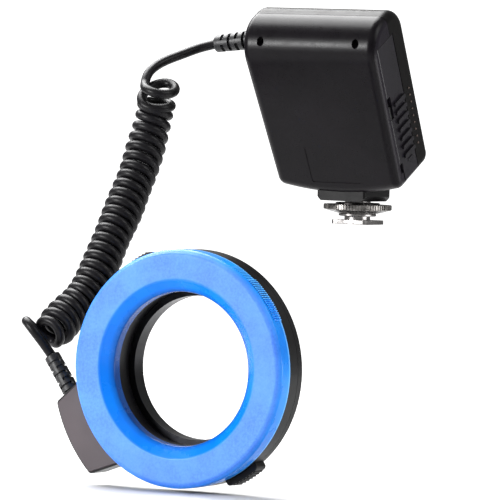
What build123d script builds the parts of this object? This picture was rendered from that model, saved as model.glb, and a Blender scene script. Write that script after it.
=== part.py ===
from build123d import *
import math
import os

os.makedirs("parts", exist_ok=True)

# Macro ring flash: a leaning control unit on a hot-shoe foot, a curly cord and a ring head with a blue filter.
# Frame: millimetres, +Z up, the ring head faces -Y, +X is to the right for someone who faces the ring.
# Origin: middle of the underside of the hot-shoe foot.

# ------------------------------------------------------------------ driving dimensions
LEAN = 29.5            # control unit leans forward by this, degrees
U_BOT, U_TOP = 23.6, 104.6   # unit's lower and upper face, measured up its lean
V_FRONT, V_REAR = -8.2, 24.2  # unit's front and rear face, measured square to its lean
V_SEAM = 9.6           # parting plane between front and rear shell
W_BOT, W_TOP = 32.0, 34.9     # half width at the lower and upper face
WALL = 1.8
R_TOP_FRONT, R_TOP_REAR, R_BOTTOM, R_SIDE = 16.0, 11.5, 5.0, 4.0
BOW = 4.2              # the lower face bows down by this in its middle
SEAM_GAP = 0.1         # each shell stops this far from the parting plane

SCREW_X, SCREW_U = 24.6, 98.0
SCREW_SEAT = 1.0       # level of the floor of the deep screw holes
CELL_R, CELL_LEN, CELL_PITCH, CELL_U0, CELL_V = 7.1, 49.2, 14.5, 38.6, 4.1
BUTTON_V = 25.0        # outer face of the rear buttons
LCD_U = 82.0

FOOT_W, FOOT_L, FOOT_T = 18.5, 18.0, 2.0
STEM_R = 6.0
WHEEL_R, WHEEL_Z0, WHEEL_Z1 = 15.8, 5.0, 9.2
RUN = 0.06             # radial running clearance
BLOCK_W, BLOCK_Y0, BLOCK_Y1, BLOCK_Z = 12.65, -16.8, 8.2, 10.8

RING_Y, RING_Z = -162.5, -61.8   # front plane and axis height of the ring head
R_OD, R_BAND_OUT, R_BAND_IN, R_HOLE = 52.4, 50.4, 39.3, 33.9
LIP_DEPTH, FILTER_DEPTH, FILTER_T = 4.6, 9.2, 1.2
RING_DEPTH, RING_SEAM = 22.0, 16.5
BOX_ANG, BUTTON_ANG, HEAD_R = 210.6, 302.0, 55.0
BOX_R = 69.0
THREAD_R, THREAD_LEN = 33.5, 3.4
LED_COUNT = 48

CORD_D = 4.3
COIL_D = 17.7

# ------------------------------------------------------------------ helper planes and lines
cl, sl = math.cos(math.radians(LEAN)), math.sin(math.radians(LEAN))
TAPER = math.atan2(W_TOP - W_BOT, U_TOP - U_BOT)
ct, st = math.cos(TAPER), math.sin(TAPER)

# local x is X, local y runs up the lean, the normal points forward; offset(-v) is the level v
UNIT = Plane(origin=(0, 0, 0), x_dir=(1, 0, 0), z_dir=(0, -cl, -sl))
LEAN_UP = Axis((0, 0, 0), (0, -sl, cl))
LEAN_BACK = Axis((0, 0, 0), (0, cl, sl))


def unit_point(x, u, v):
    """A row-frame point from the unit's own x, u (up the lean) and v (back, square to it)."""
    return (x, -sl * u + cl * v, cl * u + sl * v)


# the +X side face: local x up the side, local y forward, z outward; origin at u = 28, v = 0
SIDE_U0 = 28.0
side_x0 = W_BOT + (SIDE_U0 - U_BOT) * math.tan(TAPER)
SIDE = Plane(
    origin=unit_point(side_x0, SIDE_U0, 0),
    x_dir=(st, -sl * ct, cl * ct),
    z_dir=(ct, sl * st, -cl * st),
)

# ring sections are drawn as (radius, depth behind the front plane) on this plane and turned about RING_AXIS
RING_SECTION = Plane(origin=(0, RING_Y, RING_Z), x_dir=(1, 0, 0), z_dir=(0, 0, 1))
RING_AXIS = Axis((0, RING_Y, RING_Z), (0, 1, 0))


def ring_plane(depth):
    """Plane across the ring axis at a depth behind its front, normal towards the front, x to +X, y to +Z."""
    return Plane(origin=(0, RING_Y + depth, RING_Z), x_dir=(1, 0, 0), z_dir=(0, -1, 0))


def radial_plane(angle, radius, depth):
    """Plane facing outward from the ring axis: x back along the ring axis, y along the rim, normal outward."""
    a = math.radians(angle)
    return Plane(
        origin=(radius * math.cos(a), RING_Y + depth, RING_Z + radius * math.sin(a)),
        x_dir=(0, 1, 0),
        z_dir=(math.cos(a), 0, math.sin(a)),
    )


def polar(r, angle):
    return (r * math.cos(math.radians(angle)), r * math.sin(math.radians(angle)))


# ------------------------------------------------------------------ control unit: outer and inner form
with BuildPart() as unit_outer:
    with BuildSketch(UNIT.offset(-V_REAR)):
        with BuildLine():
            ThreePointArc((-W_BOT, U_BOT), (0, U_BOT - BOW), (W_BOT, U_BOT))
            Polyline((W_BOT, U_BOT), (W_TOP, U_TOP), (-W_TOP, U_TOP), (-W_BOT, U_BOT))
        make_face()
    extrude(amount=V_REAR - V_FRONT)
    cross = unit_outer.edges().filter_by(Axis.X)
    fillet(cross.group_by(LEAN_UP)[-1].sort_by(LEAN_BACK)[0], R_TOP_FRONT)
    cross = unit_outer.edges().filter_by(Axis.X)
    fillet(cross.filter_by_position(LEAN_UP, U_TOP - 1, U_TOP + 1).sort_by(LEAN_BACK)[-1], R_TOP_REAR)
    fillet(unit_outer.edges().filter_by(GeomType.CIRCLE).filter_by(lambda g: g.radius > 50), R_BOTTOM)
    fillet(unit_outer.faces().sort_by(Axis.X)[-1].edges(), R_SIDE)
    fillet(unit_outer.faces().sort_by(Axis.X)[0].edges(), R_SIDE)

with BuildPart() as unit_inner:
    with BuildSketch(UNIT.offset(-V_REAR + WALL)):
        with BuildLine():
            Polyline(
                (-W_BOT + WALL, U_BOT + WALL), (W_BOT - WALL, U_BOT + WALL),
                (W_TOP - WALL, U_TOP - WALL), (-W_TOP + WALL, U_TOP - WALL), close=True,
            )
        make_face()
    extrude(amount=V_REAR - V_FRONT - 2 * WALL)
    cross = unit_inner.edges().filter_by(Axis.X)
    fillet(cross.group_by(LEAN_UP)[-1].sort_by(LEAN_BACK)[0], R_TOP_FRONT - WALL)
    cross = unit_inner.edges().filter_by(Axis.X)
    fillet(cross.filter_by_position(LEAN_UP, U_TOP - WALL - 1, U_TOP - WALL + 1).sort_by(LEAN_BACK)[-1], R_TOP_REAR - WALL)
    cross = unit_inner.edges().filter_by(Axis.X)
    fillet(cross.group_by(LEAN_UP)[0], R_BOTTOM - WALL)
    fillet(unit_inner.faces().sort_by(Axis.X)[-1].edges(), R_SIDE - WALL)
    fillet(unit_inner.faces().sort_by(Axis.X)[0].edges(), R_SIDE - WALL)

# battery door outline on the side face: main plate runs down through the lower corner,
# the hinge strip stops above a fixed corner that holds the hinge pin
DOOR_X1 = 66.2
DOOR_Y0, DOOR_Y1 = -12.2, 3.8       # rear and front edge (local y is forward)
HINGE_Y, HINGE_Z = 2.6, -1.4
STRIP_Y = 1.2                       # behind this the plate runs on down, in front of it is the hinge strip
STRIP_X0 = 6.6
DOOR_T = 2.4
DOOR_GAP = 0.2
BRACKET_X0, BRACKET_X1 = 30.0, 36.5
DOOR_SLIDE = 4.0

# hollow of the unit: the inner form less everything that the shells grow inside
with BuildPart() as hollow:
    add(unit_inner.part)
    with BuildSketch(UNIT.offset(-V_REAR)):
        with Locations((-SCREW_X, SCREW_U), (SCREW_X, SCREW_U)):
            Circle(3.3)
    extrude(amount=V_REAR - V_FRONT, mode=Mode.SUBTRACT)
    with BuildSketch(UNIT.offset(-V_REAR)):
        with Locations((-25.0, 36.5), (25.0, 36.5), (-25.0, 91.0), (25.0, 91.0)):
            Circle(2.6)
    extrude(amount=V_REAR - 15.9, mode=Mode.SUBTRACT)
    with BuildSketch(SIDE.offset(-3.6)):
        with Locations(((-4.0 + STRIP_X0 - DOOR_SLIDE - 0.4) / 2, 3.3)):
            Rectangle(STRIP_X0 - DOOR_SLIDE - 0.4 + 4.0, 4.2)
        with Locations((69.2, 3.3)):
            Rectangle(5.6, 4.2)
    extrude(amount=6, mode=Mode.SUBTRACT)

hinge_plane = Plane(origin=SIDE.from_local_coords(Vector(0, HINGE_Y, HINGE_Z)), x_dir=SIDE.y_dir, z_dir=SIDE.x_dir)

# space that the battery door fills, cut from both shells
with BuildPart() as door_opening:
    with BuildSketch(SIDE.offset(-DOOR_T - 0.4)):
        with Locations(((DOOR_X1 + DOOR_GAP - 10) / 2, (DOOR_Y0 - DOOR_GAP + STRIP_Y) / 2)):
            Rectangle(DOOR_X1 + DOOR_GAP + 10, STRIP_Y - DOOR_Y0 + DOOR_GAP)
        with Locations(((DOOR_X1 + DOOR_GAP + STRIP_X0 - DOOR_SLIDE - 0.4) / 2, (DOOR_Y1 + DOOR_GAP) / 2)):
            Rectangle(DOOR_X1 + DOOR_GAP - STRIP_X0 + DOOR_SLIDE + 0.4, DOOR_Y1 + DOOR_GAP)
    extrude(amount=8)
    # the lower fixed corner is rounded about the hinge, so the plate's edge clears it as it swings
    with BuildSketch(hinge_plane.offset(-14)):
        with Locations((-0.8, 1.3)):
            Rectangle(1.6, 2.6)
        Circle(1.38, mode=Mode.SUBTRACT)
    extrude(amount=14 + STRIP_X0 - DOOR_SLIDE - 0.4)
    # hinge pin's bore in the fixed corners
    with BuildSketch(hinge_plane.offset(-2.2)):
        Circle(0.52)
    extrude(amount=71.6)

RELIEF_AXIS_U, RELIEF_AXIS_V = 91.2, V_SEAM
relief_base = Vector(*unit_point(-34.6, RELIEF_AXIS_U, RELIEF_AXIS_V))
cord_points_up = [
    (-56.6, -36.5, 81.3), (-63.0, -38.4, 79.9), (-66.2, -43.7, 77.9), (-67.7, -51.0, 75.2), (-68.0, -59.4, 71.1),
    (-67.3, -66.1, 65.8), (-66.4, -68.7, 60.0),
]
relief_tip = Vector(*cord_points_up[0])
relief_dir = (relief_tip - relief_base).normalized()

# ------------------------------------------------------------------ front shell
with BuildPart() as front_housing:
    add(unit_outer.part)
    add(hollow.part, mode=Mode.SUBTRACT)
    add(door_opening.part, mode=Mode.SUBTRACT)
    split(bisect_by=UNIT.offset(-V_SEAM + SEAM_GAP), keep=Keep.TOP)
    # deep holes for the two upper screws
    with BuildSketch(UNIT.offset(-SCREW_SEAT)):
        with Locations((-SCREW_X, SCREW_U), (SCREW_X, SCREW_U)):
            Circle(1.8)
    extrude(amount=14, mode=Mode.SUBTRACT)
    with BuildSketch(UNIT.offset(-V_SEAM)):
        with Locations((-SCREW_X, SCREW_U), (SCREW_X, SCREW_U)):
            Circle(1.05)
    extrude(amount=20, mode=Mode.SUBTRACT)
    # shallow bare panel low on the front face
    with BuildSketch(UNIT.offset(-V_FRONT - 0.25)):
        with Locations((0, 35.9)):
            RectangleRounded(26.2, 18.6, 1.2)
    extrude(amount=1, mode=Mode.SUBTRACT)
    # half of the cord's passage
    with BuildSketch(Plane(origin=relief_base - relief_dir * 4, z_dir=relief_dir)):
        Circle(3.05)
    extrude(amount=12, mode=Mode.SUBTRACT)
    # holes for the foot's screws
    with BuildSketch(Plane(origin=unit_point(0, U_BOT - 1, 0), x_dir=(1, 0, 0), z_dir=(0, -sl, cl))):
        with Locations((-8.0, 3.5), (8.0, 3.5)):
            Circle(1.0)
    extrude(amount=4, mode=Mode.SUBTRACT)
    with BuildSketch(Plane(origin=unit_point(0, U_BOT, 0), x_dir=(1, 0, 0), z_dir=(0, -sl, cl))):
        with Locations((-8.0, 3.5), (8.0, 3.5)):
            Circle(1.0)
    extrude(amount=-6, mode=Mode.SUBTRACT)
front_housing.part.label = "front_housing"
export_step(front_housing.part, "parts/front_housing.step")

# ------------------------------------------------------------------ rear shell
buttons = {
    "button_mode": (-17.0, 61.0, 9.0, 5.0),
    "button_light": (0.0, 61.0, 9.0, 5.0),
    "button_test": (17.0, 61.0, 9.0, 5.0),
    "button_down": (-9.5, 50.0, 9.0, 5.0),
    "button_up": (9.5, 50.0, 9.0, 5.0),
}
SWITCH_U, SWITCH_TRAVEL = 39.0, 4.0

with BuildPart() as rear_housing:
    add(unit_outer.part)
    add(hollow.part, mode=Mode.SUBTRACT)
    add(door_opening.part, mode=Mode.SUBTRACT)
    split(bisect_by=UNIT.offset(-V_SEAM - SEAM_GAP), keep=Keep.BOTTOM)
    # display: recess for the window and the opening behind it
    with BuildSketch(UNIT.offset(-V_REAR)):
        with Locations((0, LCD_U)):
            RectangleRounded(42.0, 23.0, 2.0)
    extrude(amount=1.2, mode=Mode.SUBTRACT)
    with BuildSketch(UNIT.offset(-V_REAR)):
        with Locations((0, LCD_U)):
            RectangleRounded(37.0, 18.0, 1.0)
    extrude(amount=4, mode=Mode.SUBTRACT)
    # button holes
    with BuildSketch(UNIT.offset(-V_REAR)):
        for bx, bu, bw, bh in buttons.values():
            with Locations((bx, bu)):
                RectangleRounded(bw + 0.5, bh + 0.5, 2.0)
    extrude(amount=4, mode=Mode.SUBTRACT)
    # slot of the power switch
    with BuildSketch(UNIT.offset(-V_REAR)):
        with Locations((0, SWITCH_U)):
            RectangleRounded(5.0 + SWITCH_TRAVEL + 0.5, 3.9, 0.8)
    extrude(amount=4, mode=Mode.SUBTRACT)
    # screw holes, blind from the parting plane
    with BuildSketch(UNIT.offset(-V_SEAM)):
        with Locations((-SCREW_X, SCREW_U), (SCREW_X, SCREW_U)):
            Circle(0.95)
    extrude(amount=-8, mode=Mode.SUBTRACT)
    with BuildSketch(UNIT.offset(-15.9)):
        with Locations((-25.0, 36.5), (25.0, 36.5), (-25.0, 91.0), (25.0, 91.0)):
            Circle(0.85)
    extrude(amount=-5, mode=Mode.SUBTRACT)
    with BuildSketch(Plane(origin=relief_base - relief_dir * 4, z_dir=relief_dir)):
        Circle(3.05)
    extrude(amount=12, mode=Mode.SUBTRACT)
    with BuildSketch(Plane(origin=unit_point(0, U_BOT - 1, 0), x_dir=(1, 0, 0), z_dir=(0, -sl, cl))):
        with Locations((-8.0, 15.0), (8.0, 15.0)):
            Circle(1.0)
    extrude(amount=4, mode=Mode.SUBTRACT)
    with BuildSketch(Plane(origin=unit_point(0, U_BOT, 0), x_dir=(1, 0, 0), z_dir=(0, -sl, cl))):
        with Locations((-8.0, 15.0), (8.0, 15.0)):
            Circle(1.0)
    extrude(amount=-6, mode=Mode.SUBTRACT)
    # row of tiny raised dots behind the door's thumb ribs
    with BuildSketch(SIDE.offset(-0.3)):
        for k in range(9):
            with Locations((35.8 - 3.5 * k, -16.9 + 0.14 * k)):
                Circle(0.45)
    extrude(amount=0.6)
rear_housing.part.label = "rear_housing"
export_step(rear_housing.part, "parts/rear_housing.step")

with BuildPart() as housing_screws:
    with BuildSketch(UNIT.offset(-V_SEAM - 6.5)):
        with Locations((-SCREW_X, SCREW_U), (SCREW_X, SCREW_U)):
            Circle(0.9)
    extrude(amount=V_SEAM + 6.5 - SCREW_SEAT + 0.1)
    with BuildSketch(UNIT.offset(-SCREW_SEAT + 0.05)):
        with Locations((-SCREW_X, SCREW_U), (SCREW_X, SCREW_U)):
            Circle(1.65)
    extrude(amount=1.1)
    with BuildSketch(UNIT.offset(-SCREW_SEAT + 1.2)):
        with Locations((-SCREW_X, SCREW_U), (SCREW_X, SCREW_U)):
            Rectangle(2.0, 0.45)
            Rectangle(0.45, 2.0)
    extrude(amount=-0.6, mode=Mode.SUBTRACT)
housing_screws.part.label = "housing_screws"
export_step(housing_screws.part, "parts/housing_screws.step")

# ------------------------------------------------------------------ display, buttons and switch
with BuildPart() as lcd_window:
    with BuildSketch(UNIT.offset(-V_REAR + 0.05)):
        with Locations((0, LCD_U)):
            RectangleRounded(41.8, 22.8, 1.9)
    extrude(amount=1.1)
lcd_window.part.label = "lcd_window"
export_step(lcd_window.part, "parts/lcd_window.step")

with BuildPart() as lcd_panel:
    with BuildSketch(UNIT.offset(-21.4)):
        with Locations((0, LCD_U)):
            Rectangle(39.0, 20.0)
    extrude(amount=2.6)
    with BuildSketch(UNIT.offset(-18.8)):
        with Locations((-17.5, LCD_U), (17.5, LCD_U)):
            Rectangle(2.0, 14.0)
    extrude(amount=2.95)
lcd_panel.part.label = "lcd_panel"
export_step(lcd_panel.part, "parts/lcd_panel.step")

with BuildPart() as main_circuit_board:
    with BuildSketch(UNIT.offset(-15.8)):
        with Locations((0, 63.7)):
            Rectangle(57.0, 60.0)
        with Locations((-25.0, 36.5), (25.0, 36.5), (-25.0, 91.0), (25.0, 91.0)):
            Circle(1.2, mode=Mode.SUBTRACT)
    extrude(amount=1.6)
main_circuit_board.part.label = "main_circuit_board"
export_step(main_circuit_board.part, "parts/main_circuit_board.step")

with BuildPart() as board_screws:
    with BuildSketch(UNIT.offset(-20.0)):
        with Locations((-25.0, 36.5), (25.0, 36.5), (-25.0, 91.0), (25.0, 91.0)):
            Circle(0.8)
    extrude(amount=5.9)
    with BuildSketch(UNIT.offset(-14.15)):
        with Locations((-25.0, 36.5), (25.0, 36.5), (-25.0, 91.0), (25.0, 91.0)):
            Circle(1.9)
    extrude(amount=1.0)
board_screws.part.label = "board_screws"
export_step(board_screws.part, "parts/board_screws.step")

with BuildPart() as tact_switches:
    with BuildSketch(UNIT.offset(-17.6)):
        for bx, bu, bw, bh in buttons.values():
            with Locations((bx, bu)):
                Rectangle(6.0, 6.0)
    extrude(amount=1.75)
    with BuildSketch(UNIT.offset(-18.1)):
        for bx, bu, bw, bh in buttons.values():
            with Locations((bx, bu)):
                Circle(1.6)
    extrude(amount=0.6)
tact_switches.part.label = "tact_switches"
export_step(tact_switches.part, "parts/tact_switches.step")


def rear_button(bx, bu, bw, bh):
    """A push button: proud cap, flange behind the shell, stem down to its switch."""
    with BuildPart() as one:
        with BuildSketch(UNIT.offset(-22.3)):
            with Locations((bx, bu)):
                RectangleRounded(bw, bh, 1.8)
        extrude(amount=-(BUTTON_V - 22.3))
        fillet(one.faces().sort_by(LEAN_BACK)[-1].edges(), 0.5)
        with BuildSketch(UNIT.offset(-22.3)):
            with Locations((bx, bu)):
                RectangleRounded(bw + 1.8, bh + 1.8, 2.2)
        extrude(amount=0.8)
        with BuildSketch(UNIT.offset(-21.6)):
            with Locations((bx, bu)):
                Circle(1.5)
        extrude(amount=2.8)
    return one


button_mode = rear_button(*buttons["button_mode"])
button_mode.part.label = "button_mode"
export_step(button_mode.part, "parts/button_mode.step")
button_light = rear_button(*buttons["button_light"])
button_light.part.label = "button_light"
export_step(button_light.part, "parts/button_light.step")
button_test = rear_button(*buttons["button_test"])
button_test.part.label = "button_test"
export_step(button_test.part, "parts/button_test.step")
button_down = rear_button(*buttons["button_down"])
button_down.part.label = "button_down"
export_step(button_down.part, "parts/button_down.step")
button_up = rear_button(*buttons["button_up"])
button_up.part.label = "button_up"
export_step(button_up.part, "parts/button_up.step")

with BuildPart() as power_switch:
    # knob at the OFF end of its slot
    with BuildSketch(UNIT.offset(-22.3)):
        with Locations((-SWITCH_TRAVEL / 2, SWITCH_U)):
            RectangleRounded(5.0, 3.4, 0.6)
    extrude(amount=-3.0)
    with BuildSketch(UNIT.offset(-25.3)):
        for k in (-1.4, 0.0, 1.4):
            with Locations((-SWITCH_TRAVEL / 2 + k, SWITCH_U)):
                Rectangle(0.5, 5.0)
    extrude(amount=0.4, mode=Mode.SUBTRACT)
    with BuildSketch(UNIT.offset(-22.3)):
        with Locations((-SWITCH_TRAVEL / 2, SWITCH_U)):
            Rectangle(14.5, 5.6)
    extrude(amount=0.7)
    with BuildSketch(UNIT.offset(-21.7)):
        with Locations((-SWITCH_TRAVEL / 2, SWITCH_U)):
            Rectangle(1.6, 1.6)
    extrude(amount=1.7)
power_switch.part.label = "power_switch"
export_step(power_switch.part, "parts/power_switch.step")

with BuildPart() as slide_switch_body:
    with BuildSketch(UNIT.offset(-19.6)):
        with Locations((0, SWITCH_U)):
            Rectangle(13.0, 6.0)
    extrude(amount=3.75)
slide_switch_body.part.label = "slide_switch_body"
export_step(slide_switch_body.part, "parts/slide_switch_body.step")

# ------------------------------------------------------------------ battery bay
TRAY_X0, TRAY_X1 = -28.6, 28.6
TRAY_U0, TRAY_U1 = 30.3, 90.5
TRAY_V0, TRAY_V1 = -4.1, 12.3
with BuildPart() as battery_tray:
    with BuildSketch(UNIT.offset(-TRAY_V1)):
        with Locations(((TRAY_X0 + TRAY_X1) / 2, (TRAY_U0 + TRAY_U1) / 2)):
            Rectangle(TRAY_X1 - TRAY_X0, TRAY_U1 - TRAY_U0)
    extrude(amount=TRAY_V1 - TRAY_V0)
    with BuildSketch(UNIT.offset(-TRAY_V1 + 0.9)):
        with Locations(((TRAY_X0 + 1.0 + TRAY_X1 + 5) / 2, (TRAY_U0 + TRAY_U1) / 2)):
            Rectangle(TRAY_X1 + 5 - TRAY_X0 - 1.0, TRAY_U1 - TRAY_U0 - 2.0)
    extrude(amount=TRAY_V1 - TRAY_V0 - 1.8, mode=Mode.SUBTRACT)
battery_tray.part.label = "battery_tray"
export_step(battery_tray.part, "parts/battery_tray.step")

cell_plane = Plane(origin=(0, 0, 0), x_dir=(0, -sl, cl), z_dir=(1, 0, 0))  # x up the lean, y forward, normal +X
with BuildPart() as battery_cells:
    for k in range(4):
        to_right = k % 2 == 0
        x0 = -21.5 if to_right else -25.9
        with BuildSketch(cell_plane.offset(x0)):
            with Locations((CELL_U0 + CELL_PITCH * k, -CELL_V)):
                Circle(CELL_R)
        extrude(amount=CELL_LEN)
        nub = x0 + CELL_LEN if to_right else x0 - 1.3
        with BuildSketch(cell_plane.offset(nub)):
            with Locations((CELL_U0 + CELL_PITCH * k, -CELL_V)):
                Circle(2.75)
        extrude(amount=1.3)
battery_cells.part.label = "battery_cells"
export_step(battery_cells.part, "parts/battery_cells.step")

with BuildPart() as battery_contacts:
    with BuildSketch(cell_plane.offset(-27.6)):
        for k in range(4):
            with Locations((CELL_U0 + CELL_PITCH * k, -CELL_V)):
                Rectangle(12.0, 11.0)
    extrude(amount=0.3)
battery_contacts.part.label = "battery_contacts"
export_step(battery_contacts.part, "parts/battery_contacts.step")


def contact_spring(k, x0, direction, foot=4.2, cone=-12):
    """A coil spring, conical unless cone is 0, against the flat end of cell k."""
    p = Vector(*unit_point(x0, CELL_U0 + CELL_PITCH * k, CELL_V))
    path = Helix(pitch=1.25, height=5.0, radius=foot, center=tuple(p), direction=(direction, 0, 0), cone_angle=cone)
    with BuildPart() as one:
        with BuildSketch(Plane(origin=path @ 0, z_dir=path % 0)):
            Circle(0.25)
        sweep(path=path, is_frenet=True)
    return one.part


with BuildPart() as battery_springs:
    add(contact_spring(0, -27.0, 1))
    add(contact_spring(2, -27.0, 1))
battery_springs.part.label = "battery_springs"
export_step(battery_springs.part, "parts/battery_springs.step")

# ------------------------------------------------------------------ battery door with its hinge
with BuildPart() as battery_door:
    # main plate, full height
    with BuildSketch(SIDE.offset(-DOOR_T - 0.2)):
        with Locations(((DOOR_X1 - 8) / 2, (DOOR_Y0 + STRIP_Y - 0.2) / 2)):
            Rectangle(DOOR_X1 + 8, STRIP_Y - 0.2 - DOOR_Y0)
    extrude(amount=DOOR_T)
    # hinge strip
    with BuildSketch(SIDE.offset(-DOOR_T - 0.2)):
        with Locations(((DOOR_X1 + STRIP_X0) / 2, (HINGE_Y + 0.4) / 2)):
            Rectangle(DOOR_X1 - STRIP_X0, HINGE_Y - 0.4)
    extrude(amount=DOOR_T)
    with BuildSketch(hinge_plane.offset(STRIP_X0)):
        Circle(DOOR_T / 2)
    extrude(amount=DOOR_X1 - STRIP_X0)
    # follow the rounded lower corner of the unit
    add(unit_outer.part, mode=Mode.INTERSECT)
    # room for the hinge bracket, one slide longer than it
    with BuildSketch(SIDE.offset(-6)):
        with Locations(((BRACKET_X0 - 0.3 + BRACKET_X1 + DOOR_SLIDE + 0.3) / 2, 3.0)):
            Rectangle(BRACKET_X1 - BRACKET_X0 + DOOR_SLIDE + 0.6, 5.2)
    extrude(amount=8, mode=Mode.SUBTRACT)
    with BuildSketch(hinge_plane.offset(-6)):
        Circle(0.5 + RUN)
    extrude(amount=90, mode=Mode.SUBTRACT)
    # thumb ribs
    with BuildSketch(SIDE.offset(-0.4)):
        for k in range(7):
            with Locations((8.4 + 4.45 * k, -6.4)):
                SlotOverall(10.6, 2.1, rotation=90)
    extrude(amount=1.3)
    # opening arrow
    with BuildSketch(SIDE.offset(-0.4)):
        with BuildLine():
            Polyline((5.4, -9.0), (5.4, -3.8), (2.8, -6.4), close=True)
        make_face()
    extrude(amount=0.55)
battery_door.part.label = "battery_door"
export_step(battery_door.part, "parts/battery_door.step")

with BuildPart() as door_hinge_bracket:
    with BuildSketch(hinge_plane.offset(BRACKET_X0)):
        Circle(DOOR_T / 2)
        Circle(0.5 + RUN, mode=Mode.SUBTRACT)
    extrude(amount=BRACKET_X1 - BRACKET_X0)
    # leaf behind the door plate
    with BuildSketch(SIDE.offset(-DOOR_T - 0.95)):
        with Locations(((BRACKET_X0 + BRACKET_X1) / 2, (HINGE_Y - 8.0) / 2 + 0.1)):
            Rectangle(BRACKET_X1 - BRACKET_X0, HINGE_Y + 8.0)
    extrude(amount=0.6)
    with BuildSketch(SIDE.offset(-DOOR_T - 0.95)):
        with Locations(((BRACKET_X0 + BRACKET_X1) / 2, HINGE_Y - 0.3)):
            Rectangle(BRACKET_X1 - BRACKET_X0, 1.4)
    extrude(amount=1.4)
    with BuildSketch(hinge_plane.offset(BRACKET_X0 - 1)):
        Circle(0.5 + RUN)
    extrude(amount=BRACKET_X1 - BRACKET_X0 + 2, mode=Mode.SUBTRACT)
door_hinge_bracket.part.label = "door_hinge_bracket"
export_step(door_hinge_bracket.part, "parts/door_hinge_bracket.step")

with BuildPart() as door_hinge_pin:
    with BuildSketch(hinge_plane.offset(-2.0)):
        Circle(0.5)
    extrude(amount=71.0)
door_hinge_pin.part.label = "door_hinge_pin"
export_step(door_hinge_pin.part, "parts/door_hinge_pin.step")

with BuildPart() as door_contacts:
    for lo, hi in ((5.0, 28.6), (46.0, 63.2)):
        with BuildSketch(SIDE.offset(-DOOR_T - 0.5)):
            with Locations(((lo + hi) / 2, -6.6)):
                Rectangle(hi - lo, 8.0)
        extrude(amount=0.3)
    add(contact_spring(1, 29.6, -1, 2.9, 0))
    add(contact_spring(3, 30.6, -1, 2.9, 0))
door_contacts.part.label = "door_contacts"
export_step(door_contacts.part, "parts/door_contacts.step")

# ------------------------------------------------------------------ foot
with BuildPart() as foot_block:
    with BuildSketch(Plane(origin=(-BLOCK_W, 0, 0), x_dir=(0, 1, 0), z_dir=(1, 0, 0))):
        with BuildLine():
            Polyline(
                (BLOCK_Y0, BLOCK_Z), (BLOCK_Y1, BLOCK_Z), (BLOCK_Y1, 29.5), (6.8, 31.5), (6.0, 36.0),
                (BLOCK_Y0, 20.5), close=True,
            )
        make_face()
    extrude(amount=2 * BLOCK_W)
    chamfer(foot_block.faces().sort_by(Axis.Z)[0].edges().filter_by(Axis.Y), 2.2)
    fillet(foot_block.edges().filter_by(Axis.Z), 1.2)
    add(unit_outer.part, mode=Mode.SUBTRACT)
    with BuildSketch(Plane.XY.offset(BLOCK_Z - 1)):
        Circle(STEM_R + 0.05)
    extrude(amount=7.2, mode=Mode.SUBTRACT)
    with BuildSketch(Plane(origin=unit_point(0, U_BOT + 1, 0), x_dir=(1, 0, 0), z_dir=(0, -sl, cl))):
        with Locations((-8.0, 3.5), (8.0, 3.5), (-8.0, 15.0), (8.0, 15.0)):
            Circle(0.9)
    extrude(amount=-9.5, mode=Mode.SUBTRACT)
foot_block.part.label = "foot_block"
export_step(foot_block.part, "parts/foot_block.step")

with BuildPart() as foot_screws:
    with BuildSketch(Plane(origin=unit_point(0, U_BOT + WALL + 0.05, 0), x_dir=(1, 0, 0), z_dir=(0, -sl, cl))):
        with Locations((-8.0, 3.5), (8.0, 3.5), (-8.0, 15.0), (8.0, 15.0)):
            Circle(1.9)
    extrude(amount=1.2)
    with BuildSketch(Plane(origin=unit_point(0, U_BOT + WALL + 0.1, 0), x_dir=(1, 0, 0), z_dir=(0, -sl, cl))):
        with Locations((-8.0, 3.5), (8.0, 3.5), (-8.0, 15.0), (8.0, 15.0)):
            Circle(0.85)
    extrude(amount=-9.4)
foot_screws.part.label = "foot_screws"
export_step(foot_screws.part, "parts/foot_screws.step")

with BuildPart() as shoe_foot:
    with BuildSketch():
        Rectangle(FOOT_W, FOOT_L)
        Circle(1.4, mode=Mode.SUBTRACT)
    extrude(amount=FOOT_T)
    chamfer(shoe_foot.edges().filter_by(Axis.Z).group_by(Axis.Y)[0], 1.5)
    chamfer(shoe_foot.edges().filter_by(Axis.Z).group_by(Axis.Y)[-1], 0.6)
    chamfer(shoe_foot.faces().sort_by(Axis.Y)[0].edges().filter_by(Axis.X).sort_by(Axis.Z)[0], 0.4)
shoe_foot.part.label = "shoe_foot"
export_step(shoe_foot.part, "parts/shoe_foot.step")

with BuildPart() as lock_stem:
    with BuildSketch(Plane.XY.offset(FOOT_T)):
        Circle(STEM_R)
        Circle(2.0, mode=Mode.SUBTRACT)
    extrude(amount=16.8 - FOOT_T)
lock_stem.part.label = "lock_stem"
export_step(lock_stem.part, "parts/lock_stem.step")

with BuildPart() as lock_wheel:
    with BuildSketch(Plane.XZ):
        with BuildLine():
            Polyline(
                (STEM_R + RUN, WHEEL_Z0), (9.2, WHEEL_Z0), (14.9, 6.5), (15.5, 6.7), (WHEEL_R, 7.0),
                (WHEEL_R, 8.9), (15.5, WHEEL_Z1), (10.3, WHEEL_Z1), (10.3, 9.8), (9.9, 10.0),
                (STEM_R + RUN, 10.0), close=True,
            )
        make_face()
    revolve(axis=Axis.Z)
    # knurl
    with BuildSketch(Plane.XY.offset(6.0)):
        with PolarLocations(WHEEL_R + 0.05, 72):
            Rectangle(0.9, 0.62, rotation=0)
    extrude(amount=4, mode=Mode.SUBTRACT)
lock_wheel.part.label = "lock_wheel"
export_step(lock_wheel.part, "parts/lock_wheel.step")

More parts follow.
